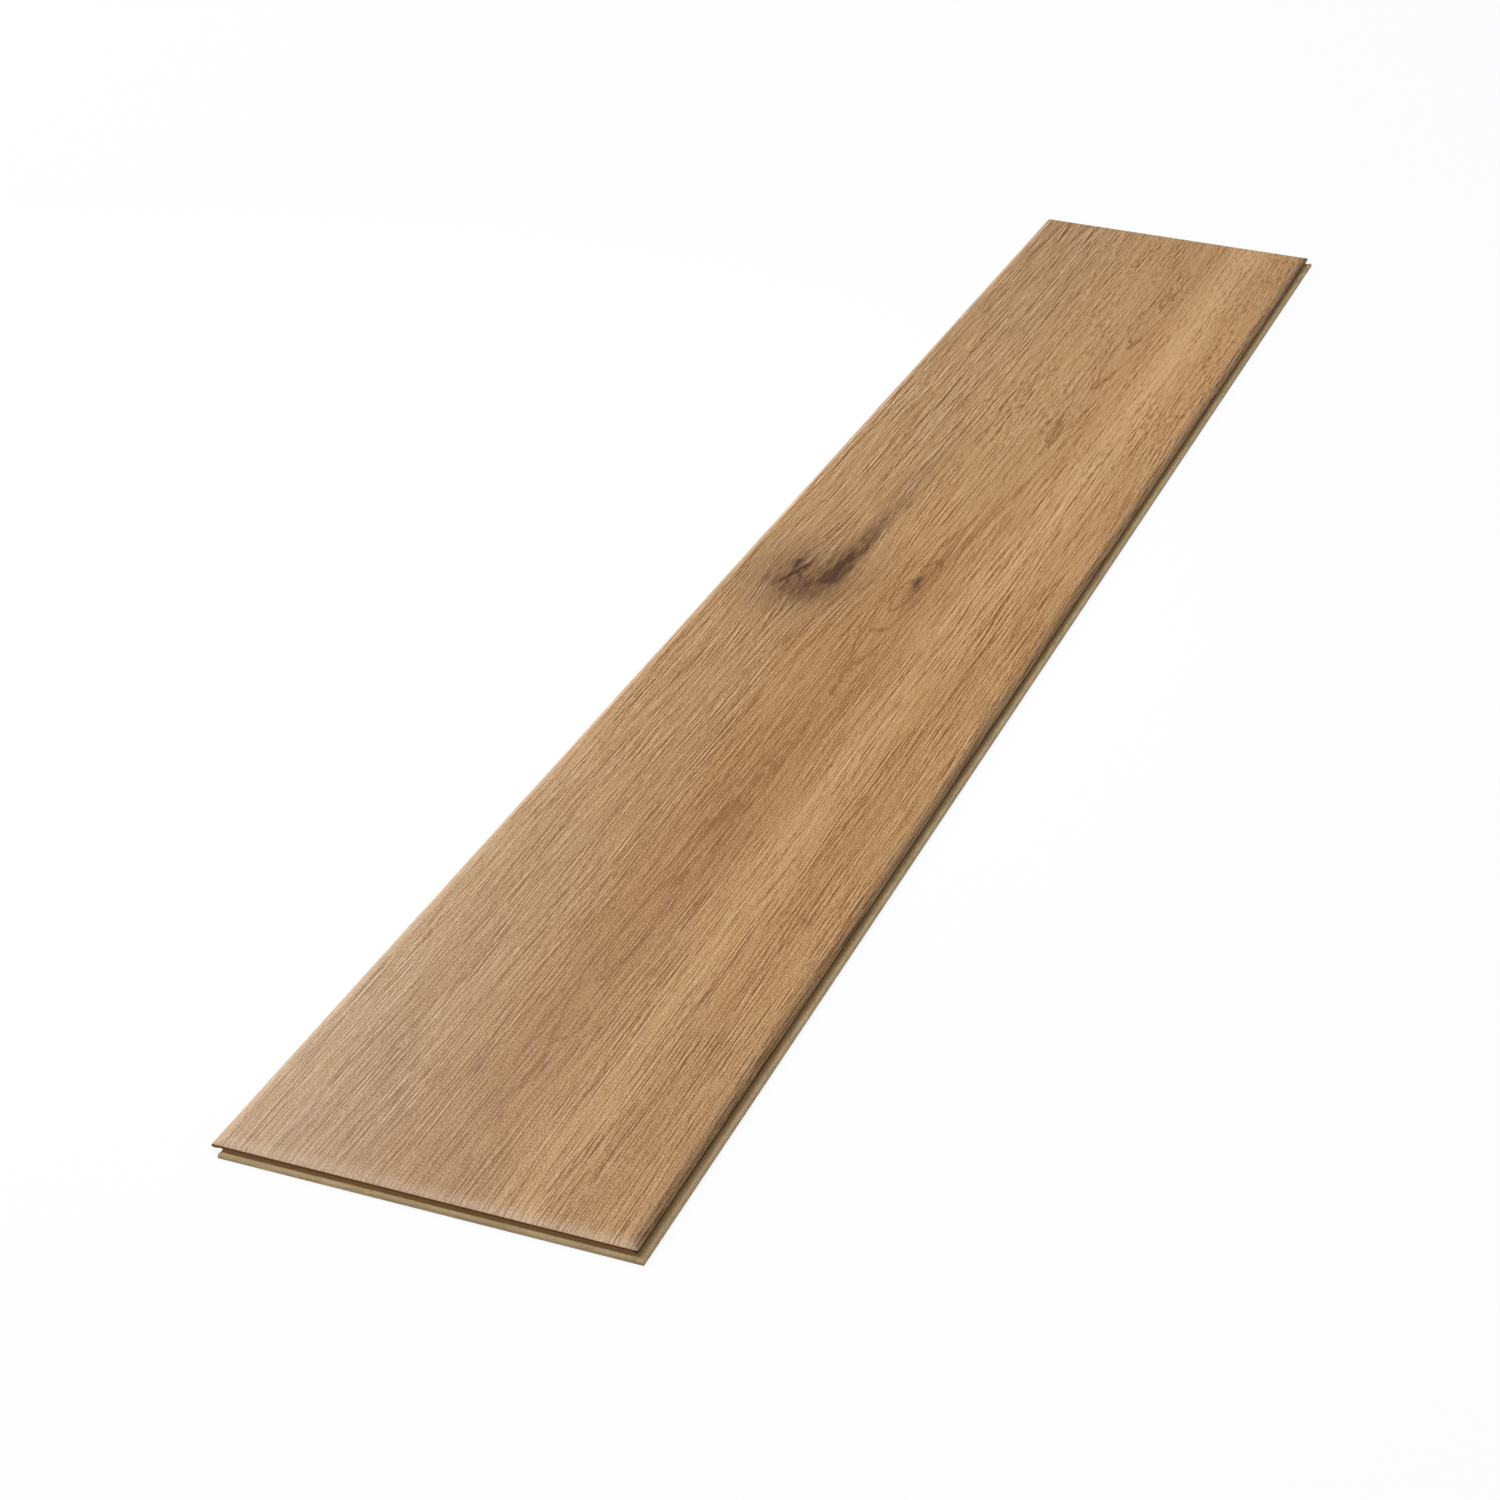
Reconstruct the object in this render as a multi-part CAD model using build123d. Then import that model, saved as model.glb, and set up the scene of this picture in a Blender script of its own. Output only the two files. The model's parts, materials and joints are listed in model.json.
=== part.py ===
from build123d import *
import os
from math import radians, tan

# Click-together resilient floor plank, one board lying face up on the floor.
# The right long edge and the near short edge have a groove over a locking lip.
# The left long edge and the far short edge have the tongue that such a groove takes.
# Origin: on the underside, below the middle of the face. X runs across the width
# towards the lip, Y along the length towards the tongue end, Z up. Millimetres.

# Board
FACE_LENGTH = 1292.0     # joint plane to joint plane, along Y
FACE_WIDTH = 193.0       # joint plane to joint plane, along X
THICKNESS = 5.5          # underside to the flat of the face

# Rolled bevel round the face
BEVEL_WIDTH = 5.0
BEVEL_DEPTH = 1.1

# Groove, from the top edge of the joint downwards
JOINT_FACE_HEIGHT = 1.3  # upright face that closes against the neighbour
MOUTH_CHAMFER = 0.15     # lead-in at the upper edge of the groove's mouth
GROOVE_HEIGHT = 1.1
GROOVE_DEPTH = 1.4       # behind the joint plane
GROOVE_RADIUS = 0.35     # corners at the back of the groove, and the tongue's nose

# Locking lip below the groove
LONG_LIP_REACH = 3.9     # beyond the joint plane, on the long edge
SHORT_LIP_REACH = 3.1    # beyond the joint plane, on the short edge
SADDLE_DROP = 0.45       # groove floor down to the saddle of the lip
SADDLE_START = 0.3       # where the slope from the groove floor meets the saddle
RIDGE_HEIGHT = 0.55      # locking ridge above the saddle
RIDGE_WIDTH = 1.4        # flat top of the ridge
RIDGE_RADIUS = 0.15      # rounding of the ridge and its foot
LOCK_ANGLE = 55.0        # locking face of the ridge, degrees above level
TIP_RUN = 0.6            # ridge top out to the tip of the lip
TIP_DROP = 0.45          # ridge top down to the tip's upper corner
TIP_CHAMFER = 0.3        # lower corner of the tip

# Fit of the tongue in a neighbour's groove
TONGUE_CLEARANCE = 0.05  # above and below the tongue
LOCK_CLEARANCE = 0.05    # at the locking face
NOSE_CLEARANCE = 0.2     # nose of the tongue to the back of the groove
TIP_CLEARANCE = 0.25     # tip of the lip to the end of its pocket

# Heights above the underside
edge_z = THICKNESS - BEVEL_DEPTH
roof_z = edge_z - JOINT_FACE_HEIGHT
floor_z = roof_z - GROOVE_HEIGHT
saddle_z = floor_z - SADDLE_DROP
ridge_z = saddle_z + RIDGE_HEIGHT
pocket_z = ridge_z + TONGUE_CLEARANCE

# Distances out from the joint plane
lock_slope = tan(radians(LOCK_ANGLE))
lock_shift = TONGUE_CLEARANCE / lock_slope - LOCK_CLEARANCE
tongue_reach = GROOVE_DEPTH - NOSE_CLEARANCE
long_pocket = LONG_LIP_REACH + TIP_CLEARANCE
short_pocket = SHORT_LIP_REACH + TIP_CLEARANCE


def ridge_places(reach):
    """Foot, inner and outer corner of the locking ridge on a lip, out from the joint plane."""
    outer = reach - TIP_RUN
    inner = outer - RIDGE_WIDTH
    return inner - RIDGE_HEIGHT / lock_slope, inner, outer


def groove_edge(reach):
    """Groove and lip, from the underside up to the top edge of the joint."""
    ridge_foot, ridge_inner, ridge_outer = ridge_places(reach)
    back_radius = min(GROOVE_RADIUS, 0.45 * GROOVE_HEIGHT)
    corners = [
        (reach, TIP_CHAMFER, 0),
        (reach, ridge_z - TIP_DROP, RIDGE_RADIUS),
        (ridge_outer, ridge_z, RIDGE_RADIUS),
        (ridge_inner, ridge_z, RIDGE_RADIUS),
        (ridge_foot, saddle_z, RIDGE_RADIUS),
        (SADDLE_START, saddle_z, 0),
        (-GROOVE_DEPTH, floor_z, back_radius),
        (-GROOVE_DEPTH, roof_z, back_radius),
        (-MOUTH_CHAMFER, roof_z, 0),
        (0, roof_z + MOUTH_CHAMFER, 0),
    ]
    return outline((reach - TIP_CHAMFER, 0), corners, (0, edge_z))


def tongue_edge(reach):
    """Tongue over the pocket for a neighbour's lip, measured from that neighbour's joint plane."""
    ridge_foot, ridge_inner, _ = ridge_places(reach)
    pocket_end = reach + TIP_CLEARANCE
    upper_z = roof_z - TONGUE_CLEARANCE
    lower_z = floor_z + TONGUE_CLEARANCE
    heel_z = saddle_z + TONGUE_CLEARANCE
    nose_radius = min(GROOVE_RADIUS, 0.45 * (upper_z - lower_z))
    corners = [
        (pocket_end, pocket_z, RIDGE_RADIUS),
        (ridge_inner + lock_shift, pocket_z, RIDGE_RADIUS),
        (ridge_foot + lock_shift, heel_z, RIDGE_RADIUS),
        (SADDLE_START, heel_z, 0),
        (-tongue_reach, lower_z, nose_radius),
        (-tongue_reach, upper_z, nose_radius),
        (0, upper_z, 0),
    ]
    return outline((pocket_end, 0), corners, (0, edge_z))


def outline(start, corners, end):
    """Open line from start to end through (out, up, rounding) corners."""
    points = [start] + [(out, up) for out, up, _ in corners] + [end]
    return FilletPolyline(*points, radius=[rounding for _, _, rounding in corners])


def edge_section(span, reach):
    """Section through two opposite edges, their joint planes span apart, lip to the right."""
    half = span / 2
    right_edge, left_edge = (half, edge_z), (-half, edge_z)
    right_roll, left_roll = (half - BEVEL_WIDTH, THICKNESS), (BEVEL_WIDTH - half, THICKNESS)
    border = [
        Pos(half, 0) * groove_edge(reach),
        TangentArc(right_roll, right_edge, tangent=(1, 0)),
        Line(right_roll, left_roll),
        TangentArc(left_roll, left_edge, tangent=(-1, 0)),
        Pos(-half, 0) * tongue_edge(reach),
        Line((reach + TIP_CLEARANCE - half, 0), (half + reach - TIP_CHAMFER, 0)),
    ]
    return make_face(Curve() + border)


def milled_board():
    """Both pairs of edges milled right through, so the bevels mitre and the lips cross."""
    across = Plane.XZ * edge_section(FACE_WIDTH, LONG_LIP_REACH)
    lengthwise_plane = Plane(origin=(0, 0, 0), x_dir=(0, -1, 0), z_dir=(-1, 0, 0))
    lengthwise = lengthwise_plane * edge_section(FACE_LENGTH, SHORT_LIP_REACH)
    long_edges = extrude(across, FACE_LENGTH / 2 + 2 * SHORT_LIP_REACH, both=True)
    short_edges = extrude(lengthwise, FACE_WIDTH / 2 + 2 * LONG_LIP_REACH, both=True)
    return long_edges & short_edges


def corner_reliefs():
    """Blocks that clear the end of each lip where it would foul a neighbour's lip."""
    low_corner = (Align.MIN, Align.MIN, Align.MIN)
    near_left = Pos(-FACE_WIDTH / 2 - LONG_LIP_REACH, -FACE_LENGTH / 2 - SHORT_LIP_REACH, 0)
    near_block = Box(LONG_LIP_REACH + long_pocket, SHORT_LIP_REACH + GROOVE_DEPTH, roof_z, align=low_corner)
    far_right = Pos(FACE_WIDTH / 2 - GROOVE_DEPTH, FACE_LENGTH / 2 - short_pocket, 0)
    far_block = Box(GROOVE_DEPTH + LONG_LIP_REACH, short_pocket + SHORT_LIP_REACH, roof_z, align=low_corner)
    return [near_left * near_block, far_right * far_block]


plank = milled_board() - corner_reliefs()
plank.label = "plank"
plank.color = Color(0.70, 0.56, 0.40)

os.makedirs("parts", exist_ok=True)
export_step(plank, "parts/plank.step")
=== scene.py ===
"""Floor plank with a printed oak face and milled edges, lying on a white studio floor."""
import json
from math import cos, pi, radians, sin

import bmesh
import bpy
import numpy as np
from mathutils import Matrix, Vector


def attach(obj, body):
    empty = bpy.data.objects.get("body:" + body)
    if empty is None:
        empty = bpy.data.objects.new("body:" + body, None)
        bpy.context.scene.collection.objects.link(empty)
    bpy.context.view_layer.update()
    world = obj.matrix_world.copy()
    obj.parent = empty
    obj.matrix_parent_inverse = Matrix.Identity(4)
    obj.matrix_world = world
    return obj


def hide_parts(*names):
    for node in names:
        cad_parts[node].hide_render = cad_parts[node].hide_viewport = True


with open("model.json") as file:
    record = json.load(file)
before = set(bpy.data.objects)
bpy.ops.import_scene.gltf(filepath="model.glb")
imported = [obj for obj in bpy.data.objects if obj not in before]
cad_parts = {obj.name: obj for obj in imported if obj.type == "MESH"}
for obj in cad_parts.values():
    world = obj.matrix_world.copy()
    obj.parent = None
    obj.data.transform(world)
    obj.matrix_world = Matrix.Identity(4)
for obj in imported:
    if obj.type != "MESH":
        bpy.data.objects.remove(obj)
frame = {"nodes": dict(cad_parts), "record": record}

MM = 0.001
TINY = 1e-6                   # metres, less than any size on the plank
SAME_PLACE = 1e-7             # metres, within which vertices are merged

# Camera, as the photograph stands to the plank
CAMERA_AZIMUTH = 19.12        # degrees from -Y round towards +X
CAMERA_ELEVATION = 28.01      # degrees
CAMERA_ROLL = 2.31            # degrees
CAMERA_DISTANCE = 1.771       # metres to the point that it looks at
CAMERA_TARGET = (-0.0110, -0.2228)   # metres, on the level of the face's lower edge
CAMERA_LENS = 82.32           # millimetres, for the sensor below
CAMERA_SENSOR = 36.0          # millimetres

# Mesh
FLAT_CELLS = 290              # across, and along, the flat of the face
BEVEL_CELLS = 9               # across each bevel
SHARP_ANGLE = 20.0            # degrees between two faces, beyond which their edge is sharp
LEVEL_NORMAL = 0.99           # upright part of the normal of a face that counts as level
FACE, EDGE, BACK = 0, 1, 2    # material slots

# Embossed grain, in millimetres unless it says otherwise
GROOVE_DEEP = 0.085 * MM      # metres, deepest part of an embossed groove
GROOVE_CELL = (1.30, 34.0)    # noise cell across and along the grain
GROOVE_RISE = (0.35, 0.85)    # noise values between which a groove deepens
GROOVE_SHARE = 0.75           # of the depth, and the rest is waves that follow the growth rings
WAVE_CELL = (4.0, 120.0, 60.0)       # noise cell across the rings, along and across the grain
EMBOSS_FADE = (0.4, 1.3)      # bevel widths from the board's edge, where it starts and is full
GROOVE_SEED = 11
WAVE_SEED = 12
LATTICE_SIZE = 64             # random values each way, before the noise repeats

# Map for the exported picture, in shares of its height and width
BAKE_FACE = 0.80
BAKE_BACK = 0.04
BAKE_GAP = 0.005
BAKE_ROWS = 3                 # two long edges, and the two short edges in one row
BAKE_END_WIDTH = 0.48         # of each short edge
BAKE_END_START = 0.52         # of the second short edge
STRIP_DECIMALS = 2            # to which the faces of one strip agree in plane

# Growth rings, in millimetres
RING_PITCH = 3.0              # from ring to ring
PITH_X = 124.0                # middle of the cathedral figure, from the face's left edge
PITH_DEPTH = 18.0             # depth of the saw cut below the pith

# Sizes from the frame, in metres
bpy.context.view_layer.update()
node = frame["nodes"]["plank"]
cad_points = [vertex.co for vertex in node.data.vertices]
mounts = {mount["name"]: mount["pos_m"] for mount in frame["record"]["mounts"]}
half_width = mounts["long_groove_edge"][0]
half_length = mounts["short_tongue_edge"][1]
groove_z = mounts["long_groove_edge"][2]
top_z = mounts["wear_face"][2]
edge_z = max(point.z for point in cad_points if abs(point.x - half_width) < TINY)
bevel_depth = top_z - edge_z
bevel_width = half_width - max(point.x for point in cad_points if point.z > top_z - TINY)

# The face, in millimetres
face_width = 2 * half_width / MM
face_length = 2 * half_length / MM


class Knot:
    """Place on the face, in millimetres from its left edge and near end, that the grain flows round."""

    def __init__(self, x, y, across, along, push):
        self.x = x
        self.y = y
        self.across = across
        self.along = along
        self.push = push


BIG_KNOT = Knot(x=46, y=650, across=26, along=62, push=0.55)
SMALL_KNOT = Knot(x=103, y=655, across=9, along=30, push=0.45)
KNOTS = (BIG_KNOT, SMALL_KNOT)


class Field:
    """A number that a material works out at each point, for use in ordinary arithmetic."""

    def __init__(self, tree, socket):
        self.tree = tree
        self.socket = socket

    def math(self, operation, *others):
        node = self.tree.nodes.new("ShaderNodeMath")
        node.operation = operation
        for value, entry in zip((self,) + others, node.inputs):
            feed(self.tree, value, entry)
        return Field(self.tree, node.outputs[0])

    def __add__(self, other):
        return self.math("ADD", other)

    def __sub__(self, other):
        return self.math("SUBTRACT", other)

    def __mul__(self, other):
        return self.math("MULTIPLY", other)

    def __truediv__(self, other):
        return self.math("DIVIDE", other)

    def __neg__(self):
        return self * -1.0

    def __abs__(self):
        return self.math("ABSOLUTE")

    def __rsub__(self, other):
        return -self + other

    __radd__ = __add__
    __rmul__ = __mul__


def feed(tree, value, entry):
    """Link a field or a socket, or set a plain number or colour, on a node's entry."""
    if isinstance(value, Field):
        tree.links.new(value.socket, entry)
    elif isinstance(value, bpy.types.NodeSocket):
        tree.links.new(value, entry)
    else:
        entry.default_value = value


# Grain of the face, for arrays of points and for material fields alike, in millimetres

def exp_of(value):
    return value.math("EXPONENT") if isinstance(value, Field) else np.exp(value)


def root_of(value):
    return value.math("SQRT") if isinstance(value, Field) else np.sqrt(value)


def bell(offset, spread):
    """1 where offset is 0, falling to nothing beyond about two spreads."""
    share = offset * (1.0 / spread)
    return exp_of(-(share * share))


def hump(value, at, spread, height):
    """Rise of some height at one value, falling to nothing beyond about two spreads."""
    return bell(value - at, spread) * height


def spot(x, y, at, spread):
    """1 at one place, falling to nothing beyond about two spreads across and along."""
    return bell(x - at[0], spread[0]) * bell(y - at[1], spread[1])


def grain_across(x, y):
    """Place across the grain. Lines of one value run straight, and bend round the knots."""
    across = x
    for knot in KNOTS:
        swell = spot(x, y, at=(knot.x, knot.y), spread=(knot.across, knot.along))
        across = across - (x - knot.x) * (swell * knot.push)
    return across


def pith_line(y):
    """Middle of the cathedral figure, which drifts to the right towards the far end."""
    near_bend = hump(y, at=300.0, spread=560.0, height=24.0)
    knot_bend = hump(y, at=630.0, spread=70.0, height=6.0)
    return PITH_X - near_bend - knot_bend


def cut_depth(y):
    """Depth of the saw cut below the pith. A dip along the length closes the rings to an eye."""
    far_rise = hump(y, at=face_length, spread=330.0, height=15.0)
    near_eye = hump(y, at=238.0, spread=75.0, height=5.0)
    knot_eye = hump(y, at=630.0, spread=55.0, height=7.0)
    return PITH_DEPTH - far_rise - near_eye - knot_eye


def ring_radius(across, y):
    """Distance from the pith, so one value follows one growth ring over the face."""
    beside = across - pith_line(y)
    depth = cut_depth(y)
    return root_of(beside * beside + depth * depth)


# Mesh of the plank

def add_object(name, data):
    made = bpy.data.objects.new(name, data)
    bpy.context.scene.collection.objects.link(made)
    return made


def grid_lines(half_span):
    """Grid lines from joint plane to joint plane, closer together on the bevels."""
    inner = half_span - bevel_width
    roll = np.linspace(-half_span, -inner, BEVEL_CELLS + 1)
    flat = np.linspace(-inner, inner, FLAT_CELLS + 1)
    return np.concatenate([roll[:-1], flat, -roll[-2::-1]])


def bevel_drop(inset):
    """How far the rolled bevel lies below the flat, by distance in from the joint plane."""
    radius = (bevel_width ** 2 + bevel_depth ** 2) / (2 * bevel_depth)
    run = np.clip(bevel_width - inset, 0, bevel_width)
    return radius - np.sqrt(radius ** 2 - run ** 2)


def soft_step(value, low, high):
    """0 below low and 1 above high, with a soft rise between."""
    share = np.clip((value - low) / (high - low), 0, 1)
    return share * share * (3 - 2 * share)


def lattice_noise(u, v, w, seed):
    """Smooth noise from 0 to 1, with a random value at each whole u, v and w."""
    values = np.random.default_rng(seed).random((LATTICE_SIZE, LATTICE_SIZE, LATTICE_SIZE))
    cells = [np.floor(c).astype(int) for c in (u, v, w)]
    parts = [soft_step(c - np.floor(c), 0, 1) for c in (u, v, w)]
    total = 0
    for corner in np.ndindex(2, 2, 2):
        weight = 1
        place = []
        for cell, part, step in zip(cells, parts, corner):
            weight = weight * (part if step else 1 - part)
            place.append((cell + step) % LATTICE_SIZE)
        total = total + weight * values[tuple(place)]
    return total


def embossing(x, y):
    """Depth of the embossed grain, from 0 to 1. It fades out at the board's edge."""
    face_x = (x + half_width) / MM
    face_y = (y + half_length) / MM
    across = grain_across(face_x, face_y)
    ring = ring_radius(across, face_y)
    groove_u, groove_v = across / GROOVE_CELL[0], face_y / GROOVE_CELL[1]
    grooves = lattice_noise(groove_u, groove_v, np.zeros_like(across), GROOVE_SEED)
    wave_u, wave_v, wave_w = ring / WAVE_CELL[0], face_y / WAVE_CELL[1], across / WAVE_CELL[2]
    waves = lattice_noise(wave_u, wave_v, wave_w, WAVE_SEED)
    depth = GROOVE_SHARE * soft_step(grooves, *GROOVE_RISE) + (1 - GROOVE_SHARE) * waves
    inset = np.minimum(half_width - abs(x), half_length - abs(y))
    return depth * soft_step(inset, EMBOSS_FADE[0] * bevel_width, EMBOSS_FADE[1] * bevel_width)


def face_vertices(bm):
    """Rows of vertices over the face and its bevels, each with the depth of its embossing."""
    emboss = bm.verts.layers.float.new("emboss")
    grid_x, grid_y = np.meshgrid(grid_lines(half_width), grid_lines(half_length), indexing="ij")
    depth = embossing(grid_x, grid_y)
    drop = np.maximum(bevel_drop(half_width - abs(grid_x)), bevel_drop(half_length - abs(grid_y)))
    height = top_z - drop - GROOVE_DEEP * depth
    points = np.stack([grid_x, grid_y, height], axis=-1).tolist()
    rows = [[bm.verts.new(point) for point in row] for row in points]
    for row, depths in zip(rows, depth.tolist()):
        for vertex, value in zip(row, depths):
            vertex[emboss] = value
    return rows


def fan_joint_faces(bm, rows):
    """Split each upright triangle under the rim so that it meets every vertex of the face's edge."""
    rims = [rows[0], rows[-1], [row[0] for row in rows], [row[-1] for row in rows]]
    for edge in [e for e in bm.edges if e.is_boundary]:
        middle = (edge.verts[0].co + edge.verts[1].co) / 2
        rim = min(rims, key=lambda line: (line[len(line) // 2].co - middle).length)
        face = edge.link_faces[0]
        foot_shade = next(v for v in face.verts if v not in edge.verts)
        ordered = list(face.verts)
        start = ordered[(ordered.index(foot_shade) + 1) % 3]
        if (rim[0].co - start.co).length > (rim[-1].co - start.co).length:
            rim = rim[::-1]
        bmesh.ops.delete(bm, geom=[face], context="FACES_ONLY")
        for first, second in zip(rim[:-1], rim[1:]):
            bm.faces.new((foot_shade, first, second)).material_index = EDGE


def build_plank():
    """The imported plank's edges and underside, closed on top by the embossed face."""
    bm = bmesh.new()
    bm.from_mesh(node.data)
    bmesh.ops.remove_doubles(bm, verts=bm.verts, dist=SAME_PLACE)
    old_top = [f for f in bm.faces if min(v.co.z for v in f.verts) > edge_z - TINY]
    bmesh.ops.delete(bm, geom=old_top, context="FACES")
    rows = face_vertices(bm)
    for face in bm.faces:
        is_back = face.normal.z < -LEVEL_NORMAL and face.calc_center_median().z < TINY
        face.material_index = BACK if is_back else EDGE
    fan_joint_faces(bm, rows)
    for row, next_row in zip(rows[:-1], rows[1:]):
        for a, b, c, d in zip(row[:-1], next_row[:-1], next_row[1:], row[1:]):
            bm.faces.new((a, b, c, d)).material_index = FACE
    top_vertices = [v for v in bm.verts if v.co.z > edge_z - TINY]
    bmesh.ops.remove_doubles(bm, verts=top_vertices, dist=SAME_PLACE)

    mesh = bpy.data.meshes.new("plank_board")
    bm.to_mesh(mesh)
    bm.free()
    mesh.polygons.foreach_set("use_smooth", [True] * len(mesh.polygons))
    mesh.set_sharp_from_angle(angle=radians(SHARP_ANGLE))
    lay_out_bake_map(mesh)
    return add_object("plank_board", mesh)


def read_values(items, name, kind, width=1):
    """One property of all items of a mesh, with a row for each where it has several values."""
    values = np.empty(len(items) * width, kind)
    items.foreach_get(name, values)
    return values.reshape(-1, width) if width > 1 else values


def lay_out_bake_map(mesh):
    """Map for the exported picture: the face on most of it, then the underside and the edges."""
    kinds = read_values(mesh.polygons, "material_index", int)
    normals = read_values(mesh.polygons, "normal", float, 3)
    centres = read_values(mesh.polygons, "center", float, 3)
    owner = np.repeat(np.arange(len(kinds)), read_values(mesh.polygons, "loop_total", int))
    places = read_values(mesh.vertices, "co", float, 3)[read_values(mesh.loops, "vertex_index", int)]
    low = places.min(axis=0)
    share_x, share_y, _ = ((places - low) / (places.max(axis=0) - low)).T
    flat = np.stack([share_y, share_x * BAKE_FACE], axis=1)
    back = kinds[owner] == BACK
    flat[back, 1] = BAKE_FACE + BAKE_GAP + share_x[back] * BAKE_BACK

    level = abs(normals[:, 2]) > LEVEL_NORMAL
    nearer_long = half_width - abs(centres[:, 0]) < half_length - abs(centres[:, 1])
    on_long = np.where(level, nearer_long, abs(normals[:, 0]) > abs(normals[:, 1]))
    row_start = BAKE_FACE + BAKE_BACK + 2 * BAKE_GAP
    row_step = (1 - row_start) / BAKE_ROWS
    # Long edge or not, the axis that it faces along, which way, and its row of the map
    sides = ((True, 0, 1, 0), (True, 0, -1, 1), (False, 1, 1, 2), (False, 1, -1, 2))
    for is_long, axis, sign, row in sides:
        on_side = (kinds == EDGE) & (on_long == is_long) & (centres[:, axis] * sign > 0)
        height = lay_strips(flat, places, owner, normals, on_side, axis)
        loops = on_side[owner]
        flat[loops, 1] = row_start + row * row_step + flat[loops, 1] / height * (row_step - BAKE_GAP)
        if is_long:
            flat[loops, 0] = share_y[loops]
        else:
            flat[loops, 0] = share_x[loops] * BAKE_END_WIDTH + (BAKE_END_START if sign > 0 else 0)
    layer = mesh.uv_layers.new(name="OFBake")
    layer.data.foreach_set("uv", flat.ravel())


def lay_strips(flat, places, owner, normals, on_side, axis):
    """Lay the strips of one edge one above the other in flat's second column, the lowest first.

    Returns the height that they take together, in metres.
    """
    picked = np.flatnonzero(on_side[owner])
    polygon = owner[picked]
    out, up = places[picked, axis], places[picked, 2]
    n_out, n_up = normals[polygon, axis], normals[polygon, 2]
    offset = np.bincount(polygon, out * n_out + up * n_up) / np.maximum(np.bincount(polygon), 1)
    planes = np.stack([n_out, n_up, offset[polygon] / MM], axis=1).round(STRIP_DECIMALS)
    _, strip = np.unique(planes, axis=0, return_inverse=True)
    strip = strip.ravel()
    place = out * n_up - up * n_out
    levels = np.bincount(strip, up) / np.bincount(strip)
    start = 0.0
    for index in np.argsort(levels):
        members = strip == index
        least = place[members].min()
        flat[picked[members], 1] = start + place[members] - least
        start += place[members].max() - least
    return start


# Materials

def colour(red, green, blue):
    """Colour of 0 to 255 screen values, as the linear colour that nodes take."""
    screen = [value / 255 for value in (red, green, blue)]
    linear = [v / 12.92 if v <= 0.04045 else ((v + 0.055) / 1.055) ** 2.4 for v in screen]
    return (*linear, 1.0)


class Paint:
    """One material, built out of fields. It measures in millimetres, as the face does."""

    def __init__(self, name):
        self.material = bpy.data.materials.new(name)
        self.material.use_nodes = True
        self.tree = self.material.node_tree
        self.shader = self.tree.nodes["Principled BSDF"]
        place = self.add("ShaderNodeTexCoord").outputs["Object"]
        split = self.add("ShaderNodeSeparateXYZ")
        self.tree.links.new(place, split.inputs[0])
        x, y, z = (Field(self.tree, out) for out in split.outputs)
        self.x = (x + half_width) * (1 / MM)
        self.y = (y + half_length) * (1 / MM)
        self.z = z * (1 / MM)

    def add(self, kind, **settings):
        made = self.tree.nodes.new(kind)
        for name, value in settings.items():
            setattr(made, name, value)
        return made

    def put(self, entry, value):
        """Give an entry of the shader a field, a colour or a plain number."""
        feed(self.tree, value, self.shader.inputs[entry])

    def noise(self, u, v, cell, layer=0.0, detail=1.0):
        """Noise about 0, mostly from -0.25 to 0.25, by the size of its cells in u and v.

        Layers that are some way apart are different noises.
        """
        join = self.add("ShaderNodeCombineXYZ")
        for value, entry in zip((u / cell[0], v / cell[1], layer), join.inputs):
            feed(self.tree, value, entry)
        made = self.add("ShaderNodeTexNoise")
        self.tree.links.new(join.outputs[0], made.inputs["Vector"])
        made.inputs["Scale"].default_value = 1.0
        made.inputs["Detail"].default_value = detail
        return Field(self.tree, made.outputs[0]) - 0.5

    def ramp(self, value, low, high):
        """0 below low and 1 above high, with a soft rise between."""
        made = self.add("ShaderNodeMapRange", interpolation_type="SMOOTHSTEP")
        feed(self.tree, value, made.inputs["Value"])
        made.inputs["From Min"].default_value = low
        made.inputs["From Max"].default_value = high
        return Field(self.tree, made.outputs[0])

    def below(self, value, low, high):
        """1 below low and 0 above high, with a soft fall between."""
        return 1.0 - self.ramp(value, low, high)

    def window(self, value, rise, fall):
        """1 between a soft rise and a soft fall, which each go from one value to another."""
        return self.ramp(value, *rise) * self.below(value, *fall)

    def attribute(self, name):
        made = self.add("ShaderNodeAttribute", attribute_name=name)
        return Field(self.tree, made.outputs["Fac"])

    def mix(self, amount, first, second, blend="MIX"):
        made = self.add("ShaderNodeMix", data_type="RGBA", blend_type=blend)
        # The node repeats its names for each data type, so its colour sockets go by number
        feed(self.tree, amount, made.inputs[0])
        feed(self.tree, first, made.inputs[6])
        feed(self.tree, second, made.inputs[7])
        return made.outputs[2]

    def tint(self, amount, tone, filter_colour):
        return self.mix(amount, tone, filter_colour, "MULTIPLY")

    def scale_of_colours(self, value, stops):
        """Colour from a run of (place, colour) stops."""
        made = self.add("ShaderNodeValToRGB")
        feed(self.tree, value, made.inputs[0])
        band = made.color_ramp.elements
        while len(band) < len(stops):
            band.new(0.5)
        for element, (place, tone) in zip(band, stops):
            element.position = place
            element.color = tone
        return made.outputs[0]

    def bump(self, relief, depth, strength):
        """Fine relief, as deep as the given metres."""
        made = self.add("ShaderNodeBump")
        feed(self.tree, relief, made.inputs["Height"])
        made.inputs["Distance"].default_value = depth
        made.inputs["Strength"].default_value = strength
        self.put("Normal", made.outputs[0])


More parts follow.
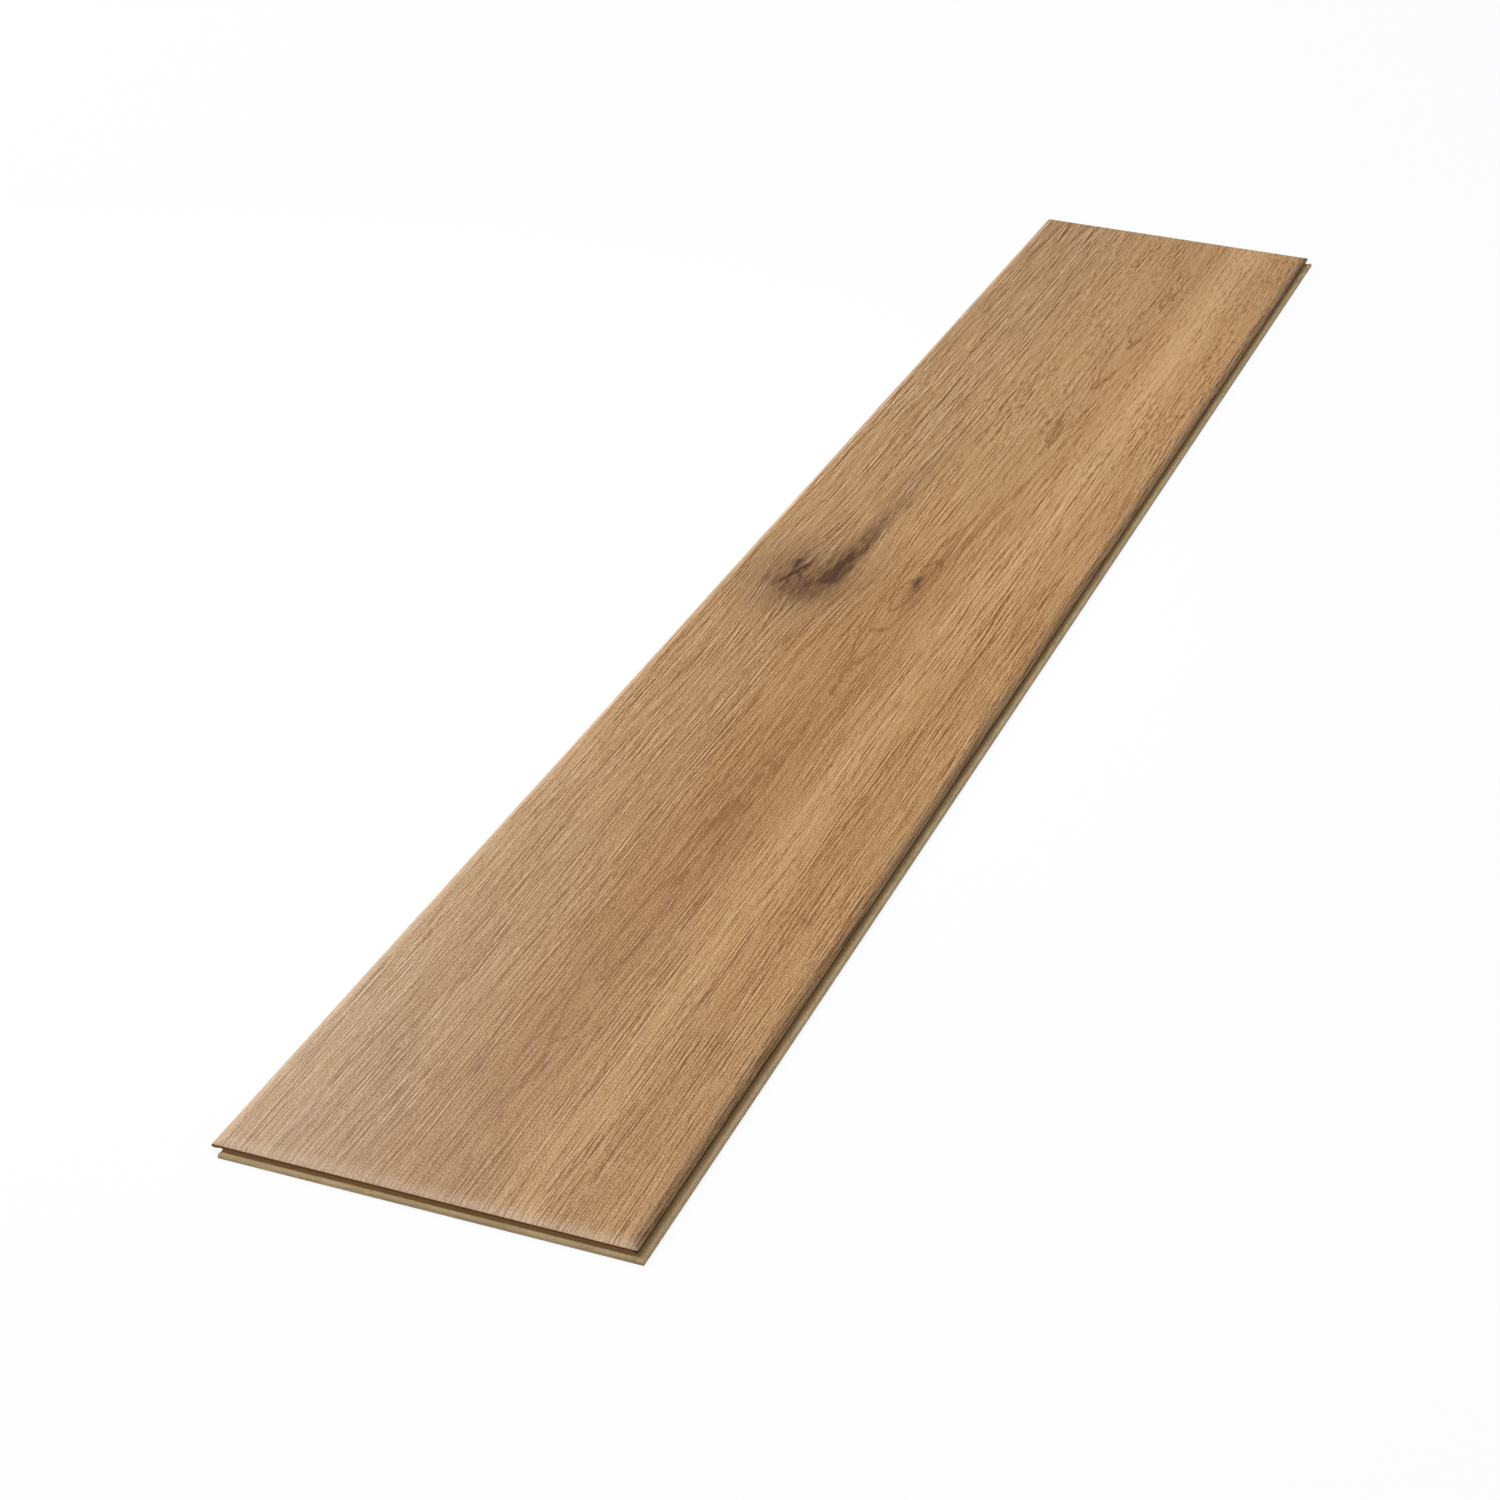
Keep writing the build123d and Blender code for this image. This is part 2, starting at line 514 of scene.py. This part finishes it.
OAK_TONES = (
    (0.00, colour(122, 73, 12)),
    (0.25, colour(152, 108, 52)),
    (0.50, colour(179, 140, 92)),
    (0.75, colour(199, 162, 119)),
    (1.00, colour(213, 178, 140)),
)
PLAIN_SHADE = 0.492           # place of plain wood among the oak tones
STREAK_MEAN = 0.08            # usual size of a streak, as a change of shade
RED_TINT = colour(252, 230, 216)
SMOKE_TINT = colour(126, 102, 68)
COOL_TINT = colour(246, 249, 255)
GOLD_TINT = colour(255, 251, 243)
WARM_TINT = colour(255, 250, 242)
KNOT_BROWN = colour(62, 32, 4)
# Pale colour of the painted sheen on the left and near bevels
PAINTED_SHEEN = colour(232, 214, 190)
BLACK = colour(0, 0, 0)
PAINTED_RIM_SHADE = 0.62          # painted shade: darkening towards the rim of the long lip edge's bevel, which faces away from the light


class OakPaint(Paint):
    """Printed oak face: streaks, pores and rings along the grain, tone bands and two knots."""

    def __init__(self):
        super().__init__("oak_decor")
        self.emboss = self.attribute("emboss")
        self.across = grain_across(self.x, self.y)
        wander = self.noise(self.x, self.y, cell=(60.0, 280.0), layer=1.3) * 5.0
        self.lines = self.across + wander
        self.fine = self.stripes(cell=(0.62, 36.0), step=0.85, cut=0.60, layer=0.4)
        self.grit = self.noise(self.x, self.y, cell=(0.8, 1.3))
        self.find_areas()
        self.find_knots()
        self.lay_colour()
        self.lay_gloss()
        self.bump(self.fine + self.grit * 0.5, depth=0.06 * MM, strength=0.5)

    def grain_noise(self, cell, layer):
        """Noise drawn out along the grain's lines."""
        return self.noise(self.lines, self.y, cell, layer)

    def stripes(self, cell, step, cut, layer):
        """Streaks about 0, sharpened by taking away a share of the same noise one step to the side."""
        beside = self.noise(self.lines + step, self.y, cell, layer)
        return self.grain_noise(cell, layer) - beside * cut

    def find_areas(self):
        """Areas where the print differs or where shade is painted, each 1 inside and 0 outside, with
        soft sides.
        """
        x, y = self.x, self.y
        self.near = self.below(y, 500.0, 900.0)
        self.far = self.ramp(y, 850.0, 1030.0)
        self.left = self.below(x, 45.0, 85.0)
        self.flecked = self.ramp(y, 680.0, 960.0) * (1.0 - self.left)
        self.figure = bell(self.across - pith_line(y), 22.0)
        self.zones = self.ramp(self.grain_noise(cell=(9.0, 110.0), layer=12.0), -0.16, 0.16)
        gold_drift = self.ramp(y, 350.0, 950.0) * 13.0
        self.gold = bell(x - 138.0 - gold_drift, 14.0)
        self.far_gold = self.gold * self.far
        self.red = bell(x - 97.0, 30.0) * self.below(y, 380.0, 640.0)
        # Rim of the long lip edge's bevel, where shade is painted as if it faced away from the light
        self.painted_shade_rim = self.below(face_width - x, -1.5, 8.0)

    def find_knots(self):
        """Stains, cracks and dark hearts of the two knots."""
        x, y = self.x, self.y
        patches = self.noise(x, y, cell=(1.3, 15.0), layer=7.0, detail=3.0)
        mottle = 1.0 + self.fine * 1.2 + self.grit * 1.5 + patches * 2.2
        self.smoke = self.knot_smoke() * mottle
        self.cracks = self.ramp(self.knot_cracks(), 0.1, 0.7)
        self.small = spot(x - patches * 4.0, y, at=(103.5, 652.0), spread=(1.8, 9.5))
        self.small_smoke = spot(x, y, at=(107.0, 660.0), spread=(6.0, 48.0))

    def knot_smoke(self):
        """Stain of the big knot: a dark heart with a tail along the grain, and a paler halo."""
        x = self.x + self.noise(self.x, self.y, cell=(2.5, 16.0), layer=5.0, detail=3.0) * 5.0
        y = self.y + self.noise(self.x, self.y, cell=(1.6, 14.0), layer=8.0, detail=2.0) * 18.0
        heart_across = self.window(x, rise=(42.0, 56.0), fall=(60.0, 66.0))
        heart = heart_across * self.window(y, rise=(617.0, 637.0), fall=(652.0, 690.0))
        core = spot(x, y, at=(56.0, 648.0), spread=(4.5, 18.0))
        dark_line = spot(x, y, at=(57.0, 659.0), spread=(1.6, 13.0))
        dark_patch = spot(x, y, at=(53.0, 630.0), spread=(3.0, 4.0))
        tail_across = self.window(x, rise=(48.0, 59.0), fall=(61.0, 66.0))
        tail = tail_across * self.window(y, rise=(648.0, 686.0), fall=(695.0, 765.0))
        long_tail = spot(x, y, at=(61.0, 775.0), spread=(6.0, 70.0))
        smear = spot(x, y, at=(47.0, 612.0), spread=(15.0, 17.0))
        crack_shade = spot(x, y, at=(35.0, 637.0), spread=(8.0, 23.0))
        halo = spot(self.x, self.y, at=(42.0, 634.0), spread=(36.0, 48.0))
        return (
            heart * 0.33 + core * 0.26 + dark_line * 0.32 + dark_patch * 0.26
            + tail * 0.56 + long_tail * 0.26 + smear * 0.26 + crack_shade * 0.16 + halo * 0.54
        )

    def knot_cracks(self):
        """Dark crack beside the big knot, slightly curved, with a smudge on either side of it."""
        ragged = self.noise(self.x, self.y, cell=(2.0, 5.0), layer=5.0, detail=3.0) * 3.6
        x, y = self.x + ragged, self.y
        up = y - 617.0
        crack_x = 29.6 + up * 0.31 - up * up * 0.0008
        crack = bell(x - crack_x, 1.3) * bell(y - 634.0, 20.0)
        upper_smudge = spot(x, y, at=(32.1, 648.0), spread=(1.9, 9.0))
        slant = (y - 632.0) * 0.65
        lower_smudge = spot(x + slant, y, at=(38.9, 632.0), spread=(2.4, 5.5))
        return crack + upper_smudge * 0.78 + lower_smudge * 0.46

    def streaks(self):
        """Change of shade by streaks along the grain, and by shorter flecks towards the far end."""
        coarse = self.stripes(cell=(1.15, 42.0), step=1.6, cut=0.45, layer=5.5)
        coarse = coarse * self.ramp(self.y, 100.0, 900.0)
        short = self.grain_noise(cell=(0.70, 6.0), layer=4.4)
        blotches = self.grain_noise(cell=(1.3, 9.0), layer=14.0) * self.ramp(self.y, 300.0, 1000.0)
        long_lines = self.grain_noise(cell=(0.75, 120.0), layer=2.2)
        run_weight = 1.0 - self.flecked * 0.22
        blotch_weight = 0.20 + self.flecked * 0.65
        line_weight = 0.40 - self.flecked * 0.22
        runs = (self.fine * 1.30 + coarse) * run_weight + short * 0.60 + blotches * blotch_weight
        zone_contrast = 0.62 + self.zones * 0.76
        area_contrast = 1.0 - self.figure * 0.35 + self.left * self.far * 0.25
        streaks = runs * (zone_contrast * area_contrast) + long_lines * line_weight
        darkening = 0.35 - self.left * 0.25
        return streaks - (abs(streaks) - STREAK_MEAN) * darkening

    def bands(self):
        """Change of shade from one area of the face to another."""
        x, y = self.x, self.y
        left_glow = self.below(x, 12.0, 34.0) * self.below(y, 380.0, 500.0)
        right_glow = self.ramp(x, 160.0, 178.0) * self.near
        near_middle = self.ramp(x, 50.0, 85.0) * self.near
        brown = bell(x - 64.0, 9.0) * self.window(y, rise=(300.0, 460.0), fall=(800.0, 920.0))
        paler = self.gold * 0.15 + self.far_gold * 0.07 + self.far * 0.07
        paler = paler + left_glow * 0.07 + right_glow * 0.08
        darker = self.red * 0.07 + brown * 0.07 + self.left * 0.035 + self.zones * 0.03
        darker = darker + self.near * 0.05 + near_middle * 0.05
        return paler - darker

    def late_wood(self):
        """Dark outer part of each growth ring."""
        wobble = self.noise(self.x, self.y, cell=(6.0, 22.0), layer=2.9, detail=2.0) * 0.9
        turn = (ring_radius(self.across, self.y) / RING_PITCH + wobble).math("FRACT")
        return self.ramp(turn, 0.66, 0.93) - self.ramp(turn, 0.93, 1.0)

    def marks(self):
        """Change of shade at pores, pale flecks, embossed grooves and growth rings."""
        pores = self.ramp(self.grain_noise(cell=(0.60, 60.0), layer=6.1), 0.12, 0.22)
        flecks = self.ramp(self.grain_noise(cell=(0.60, 40.0), layer=9.2), 0.12, 0.22)
        pore_weight = 0.19 + self.near * 0.06
        ring_weight = 0.16 + self.ramp(self.y, 400.0, 620.0) * 0.08 + self.far * 0.14
        rings = self.late_wood() * self.figure * ring_weight
        return flecks * 0.06 - pores * pore_weight - self.emboss * 0.05 - rings

    def shade(self):
        """Place of the print among the oak tones, from dark to pale."""
        middle = self.grain_noise(cell=(5.0, 200.0), layer=8.8)
        broad = self.noise(self.across, self.y, cell=(18.0, 420.0), layer=3.7)
        clouds = middle * 0.05 + broad * 0.15 + self.grit * 1.10
        return PLAIN_SHADE + self.streaks() + clouds + self.bands() + self.marks()

    def lay_colour(self):
        """Oak tones by shade, tinted from area to area, with the knots over them, painted shade on the
        long lip edge's rim and painted sheen on the left and near rims.
        """
        tone = self.scale_of_colours(self.shade() - self.small_smoke * 0.18, OAK_TONES)
        tone = self.tint(self.red * 0.08 + self.small_smoke * 0.20, tone, RED_TINT)
        tone = self.tint(self.ramp(self.x, 110.0, 140.0), tone, GOLD_TINT)
        tone = self.tint(self.left, tone, COOL_TINT)
        tone = self.tint(self.far + self.far_gold, tone, WARM_TINT)
        tone = self.tint(self.smoke + self.small_smoke * 0.14, tone, SMOKE_TINT)
        tone = self.mix(self.ramp(self.smoke, 0.8, 1.5) * 0.5, tone, KNOT_BROWN)
        tone = self.mix(self.cracks, tone, KNOT_BROWN)
        tone = self.mix(self.small * 0.95, tone, KNOT_BROWN)
        # Painted shade: the long lip edge's bevel darkens towards its rim
        tone = self.mix(self.painted_shade_rim * PAINTED_RIM_SHADE, tone, BLACK)
        # Painted sheen: the left and near bevels grow paler towards their rims
        left_sheen = self.below(self.x, 0.0, 3.5) * 0.30
        near_sheen = self.below(self.y, 1.0, 11.0) * 0.12
        tone = self.mix(left_sheen.math("MAXIMUM", near_sheen), tone, PAINTED_SHEEN)
        self.put("Base Color", tone)

    def lay_gloss(self):
        """Satin, a little rougher in the embossed grooves and duller on the dark of the knots."""
        near_sides = self.x.math("MINIMUM", self.y)
        far_sides = (face_width - self.x).math("MINIMUM", face_length - self.y)
        inset = near_sides.math("MINIMUM", far_sides)
        rolled = self.below(inset, 0.0, bevel_width / MM) * (1.0 - self.painted_shade_rim)
        self.put("Roughness", 0.46 + self.emboss * 0.08 + self.fine * 0.15 - rolled * 0.02)
        dark_stain = self.ramp(self.smoke, 0.3, 1.0)
        dull = self.cracks.math("MAXIMUM", dark_stain).math("MAXIMUM", self.small)
        self.put("Specular IOR Level", 0.5 - dull * 0.28)


BOARD_TONES = (
    (0.0, colour(128, 104, 74)),
    (0.5, colour(179, 154, 117)),
    (1.0, colour(208, 185, 150)),
)
PAINTED_GROOVE_LIGHT = colour(222, 186, 130)    # painted light: paler board inside the groove, lifting its shade
# Upper joint sealed brown and darkened further by painted shade; much darker on the long edge, which
# faces away from the light
EDGE_SEAL_AND_SHADE = colour(112, 77, 42)
LONG_EDGE_SEAL_AND_SHADE = colour(52, 30, 8)
FOOT_SHADE = colour(112, 92, 64)       # painted shade at the foot of the lip on the long edge
SEAL_AND_SHADE_BLUR = 0.15                       # millimetres above and below the lower border of the seal and its painted shade


def edge_material():
    """Cut edge: dense tan fibreboard, with the upper part of the joint sealed brown and darkened by
    painted shade, painted light in the groove and painted shade at the lip's foot on the long edge.
    """
    paint = Paint("cut_edge")
    x, y, z = paint.x, paint.y, paint.z
    fibres = paint.noise(x, y, cell=(1.3, 1.3), layer=z / 0.35, detail=3.0)
    clouds = paint.noise(x, y, cell=(18.0, 18.0), layer=z / 3.0)
    tone = paint.scale_of_colours(0.5 + fibres * 0.7 + clouds * 0.5, BOARD_TONES)
    out = (x - face_width).math("MAXIMUM", -y)
    # Painted light: the groove and the lip's saddle just beyond it are paler, making up for their shade
    groove_light = paint.window(out, rise=(-4.0, -2.0), fall=(0.6, 1.6))
    tone = paint.mix(groove_light, tone, PAINTED_GROOVE_LIGHT)
    seal_and_shade_z = groove_z / MM
    # Seal with painted shade over the upper joint, darkest on the long edge
    seal_and_shade = paint.ramp(z + fibres * 0.3, seal_and_shade_z - SEAL_AND_SHADE_BLUR, seal_and_shade_z + SEAL_AND_SHADE_BLUR)
    long_side = paint.below(face_width - x, 1.0, 3.0)
    tone = paint.mix(seal_and_shade, tone, paint.mix(long_side, EDGE_SEAL_AND_SHADE, LONG_EDGE_SEAL_AND_SHADE))
    # Painted shade at the foot of the lip on the long edge
    foot_shade = paint.below(z, 0.2, 1.0) * long_side
    tone = paint.mix(foot_shade * 0.6, tone, FOOT_SHADE)
    paint.put("Base Color", tone)
    paint.put("Roughness", 0.75)
    paint.put("Specular IOR Level", 0.15)
    paint.bump(fibres, depth=0.05 * MM, strength=0.5)
    return paint.material


BACKING_TONES = (
    (0.0, colour(150, 128, 98)),
    (0.5, colour(186, 165, 134)),
    (1.0, colour(206, 190, 164)),
)


def back_material():
    """Underside: plain backing paper with a faint fibre."""
    paint = Paint("backing")
    fibres = paint.noise(paint.x, paint.y, cell=(1.5, 7.0), detail=4.0)
    clouds = paint.noise(paint.x, paint.y, cell=(40.0, 70.0), layer=2.0, detail=2.0)
    tone = paint.scale_of_colours(0.5 + fibres * 0.5 + clouds * 0.5, BACKING_TONES)
    paint.put("Base Color", tone)
    paint.put("Roughness", 0.7)
    paint.bump(fibres, depth=0.05 * MM, strength=0.4)
    return paint.material


# Studio

FLOOR_SPAN = 40.0             # metres
FLOOR_GAP = 0.05 * MM         # below the plank, so that the two don't share a plane
FLOOR_WHITE = 0.9
FLOOR_GLOW = 0.88             # part of the floor's white that shadows leave alone
SKY_LEVEL = 0.28              # light from above, as a share of the light on the level face
HORIZON_LEVEL = 1.0           # white wall all round
HORIZON_TOP = (0.05, 0.35)    # rise of the direction over which the wall passes into the sky


def direction(azimuth, elevation):
    """Unit vector from the plank: azimuth in degrees from +Y round to the left, and height."""
    turn, rise = radians(azimuth), radians(elevation)
    return Vector((-sin(turn) * cos(rise), cos(turn) * cos(rise), sin(rise)))


def softbox(name, azimuth, elevation, distance, size, share, aim=(0, 0, 0)):
    """Square light aimed at a point, giving a share of the light on the level face there."""
    lamp = bpy.data.lights.new(name, "AREA")
    lamp.shape = "SQUARE"
    lamp.size = size
    lamp.energy = share * pi ** 2 * distance ** 2 / sin(radians(elevation))
    piece = add_object(name, lamp)
    towards = direction(azimuth, elevation)
    piece.location = Vector(aim) + towards * distance
    piece.rotation_euler = towards.to_track_quat("Z", "Y").to_euler()
    piece.visible_camera = False


def build_floor():
    """White floor that shows white to the camera and in gloss, and keeps a faint shadow."""
    mesh = bpy.data.meshes.new("floor")
    half = FLOOR_SPAN / 2
    corners = [(-half, -half, 0), (half, -half, 0), (half, half, 0), (-half, half, 0)]
    mesh.from_pydata(corners, [], [(0, 1, 2, 3)])
    floor = add_object("floor", mesh)
    floor.location.z = -FLOOR_GAP
    material = bpy.data.materials.new("floor_white")
    material.use_nodes = True
    tree = material.node_tree
    shader = tree.nodes["Principled BSDF"]
    shader.inputs["Base Color"].default_value = (FLOOR_WHITE, FLOOR_WHITE, FLOOR_WHITE, 1)
    shader.inputs["Roughness"].default_value = 1.0
    shader.inputs["Specular IOR Level"].default_value = 0.0
    rays = tree.nodes.new("ShaderNodeLightPath").outputs
    camera_ray = Field(tree, rays["Is Camera Ray"])
    glossy_ray = Field(tree, rays["Is Glossy Ray"])
    transmission_ray = Field(tree, rays["Is Transmission Ray"])
    shown = (camera_ray + glossy_ray + transmission_ray).math("MINIMUM", 1.0)
    glow = tree.nodes.new("ShaderNodeEmission")
    blend = tree.nodes.new("ShaderNodeMixShader")
    feed(tree, shown * FLOOR_GLOW, blend.inputs[0])
    tree.links.new(shader.outputs[0], blend.inputs[1])
    tree.links.new(glow.outputs[0], blend.inputs[2])
    tree.links.new(blend.outputs[0], tree.nodes["Material Output"].inputs[0])
    mesh.materials.append(material)


def build_camera():
    """Camera at the photograph's viewing angle."""
    turn, rise, roll = (radians(a) for a in (CAMERA_AZIMUTH, CAMERA_ELEVATION, CAMERA_ROLL))
    back = Vector((sin(turn) * cos(rise), -cos(turn) * cos(rise), sin(rise)))
    right = Vector((0, 0, 1)).cross(back).normalized()
    up = back.cross(right)
    right, up = right * cos(roll) + up * sin(roll), up * cos(roll) - right * sin(roll)
    target = Vector((*CAMERA_TARGET, edge_z))
    data = bpy.data.cameras.new("camera")
    data.lens = CAMERA_LENS
    data.sensor_width = CAMERA_SENSOR
    camera = add_object("camera", data)
    shift = Matrix.Translation(target + back * CAMERA_DISTANCE)
    camera.matrix_world = shift @ Matrix((right, up, back)).transposed().to_4x4()
    bpy.context.scene.camera = camera


def build_world():
    """Soft light from all round: a white wall at the horizon that passes into a greyer sky."""
    world = bpy.data.worlds.new("studio")
    world.use_nodes = True
    tree = world.node_tree
    split = tree.nodes.new("ShaderNodeSeparateXYZ")
    tree.links.new(tree.nodes.new("ShaderNodeTexCoord").outputs["Generated"], split.inputs[0])
    level = tree.nodes.new("ShaderNodeMapRange")
    level.interpolation_type = "SMOOTHSTEP"
    tree.links.new(split.outputs["Z"], level.inputs["Value"])
    level.inputs["From Min"].default_value = HORIZON_TOP[0]
    level.inputs["From Max"].default_value = HORIZON_TOP[1]
    level.inputs["To Min"].default_value = HORIZON_LEVEL
    level.inputs["To Max"].default_value = SKY_LEVEL
    background = tree.nodes["Background"]
    background.inputs["Color"].default_value = (1, 1, 1, 1)
    tree.links.new(level.outputs[0], background.inputs["Strength"])
    bpy.context.scene.world = world


plank = build_plank()
for material in (OakPaint().material, edge_material(), back_material()):
    plank.data.materials.append(material)
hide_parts("plank")
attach(plank, "root")

near_left = (-half_width, -half_length, 0)
build_floor()
build_camera()
softbox("overhead_softbox", azimuth=75, elevation=68, distance=5.0, size=2.4, share=0.48)
softbox("left_softbox", azimuth=85, elevation=30, distance=6.0, size=2.4, share=0.18)
softbox("corner_softbox", azimuth=33, elevation=35, distance=1.0, size=0.35, share=0.17, aim=near_left)
build_world()
bpy.context.scene.view_settings.view_transform = "Standard"
